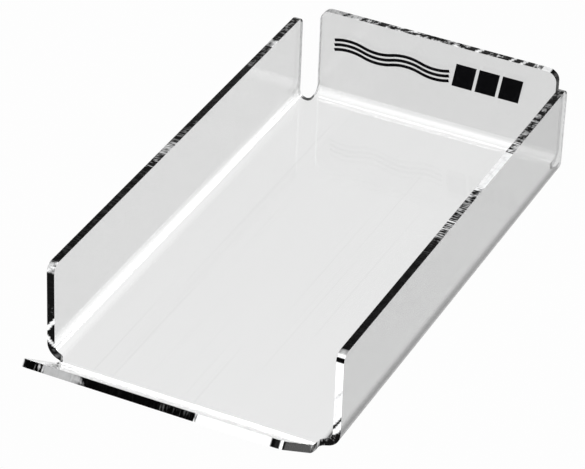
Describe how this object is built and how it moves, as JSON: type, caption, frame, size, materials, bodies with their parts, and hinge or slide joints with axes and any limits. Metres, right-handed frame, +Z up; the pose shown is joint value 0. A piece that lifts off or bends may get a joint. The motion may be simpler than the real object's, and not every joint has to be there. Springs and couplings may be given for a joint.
{
  "type": "acrylic foil tray",
  "caption": "Open clear acrylic tray with low side walls, a printed back wall and a sloped front lip, for dispensing ready-cut hair foil strips",
  "frame": {"origin": "on the underside of the tray, at the middle of its width and of its whole length, lip included", "axes": "+Z up, +Y from the front lip to the back wall, +X to the right as seen from the front"},
  "size_m": [0.116, 0.2444, 0.0405],
  "materials": {
    "clear_acrylic": "clear cast acrylic sheet, polished faces, laser-cut edges",
    "black_ink": "screen-printed black ink"
  },
  "bodies": {
    "root": {"floor_panel": "clear_acrylic", "left_wall": "clear_acrylic", "right_wall": "clear_acrylic", "left_bend": "clear_acrylic", "right_bend": "clear_acrylic", "back_wall": "clear_acrylic", "back_bend": "clear_acrylic", "front_lip": "clear_acrylic", "front_bend": "clear_acrylic", "printed_strands": "black_ink", "printed_foil": "black_ink"}
  },
  "joints": []
}
